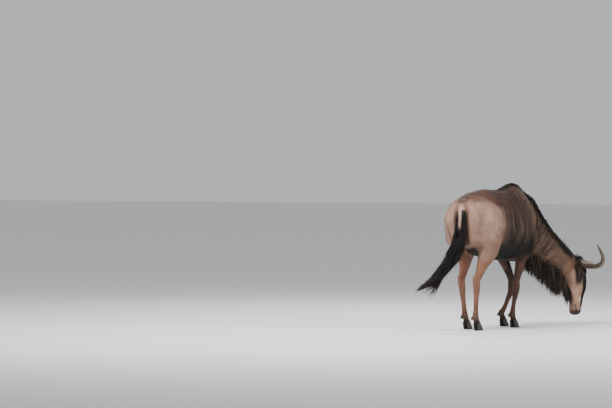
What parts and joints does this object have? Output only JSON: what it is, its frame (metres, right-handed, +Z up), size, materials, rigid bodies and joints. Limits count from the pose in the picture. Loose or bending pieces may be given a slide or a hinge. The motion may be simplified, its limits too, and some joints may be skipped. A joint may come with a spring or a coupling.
{
  "type": "wildebeest figure",
  "caption": "Life-size model of a blue wildebeest, standing in mid-step with its neck lowered to graze.",
  "frame": {"origin": "middle of the footprint of the whole animal, on the floor", "axes": "+X the way the body points, from tail to chest; +Z up; +Y the animal's left"},
  "size_m": [1.972, 1.0088, 1.2954],
  "materials": {
    "hide": "short dull coat, grey-brown with dark stripes",
    "dark_hide": "short coat with black mane and beard",
    "ear_hide": "thin short coat",
    "tail_hair": "long coarse hair",
    "horn": "worn keratin",
    "hoof": "worn keratin",
    "eye": "wet and glossy"
  },
  "bodies": {
    "root": {"torso": "hide", "leg_fore_right": "hide", "leg_fore_left": "hide", "leg_hind_right": "hide", "leg_hind_left": "hide", "neck": "dark_hide", "head": "dark_hide", "horn_left": "horn", "horn_right": "horn", "eye_left": "eye", "eye_right": "eye", "ear_left": "ear_hide", "ear_right": "ear_hide", "tail_dock": "hide", "tail_tuft": "tail_hair", "claw_fore_left_outer": "hoof", "claw_fore_left_inner": "hoof", "claw_fore_right_outer": "hoof", "claw_fore_right_inner": "hoof", "claw_hind_left_outer": "hoof", "claw_hind_left_inner": "hoof", "claw_hind_right_outer": "hoof", "claw_hind_right_inner": "hoof"}
  },
  "joints": []
}
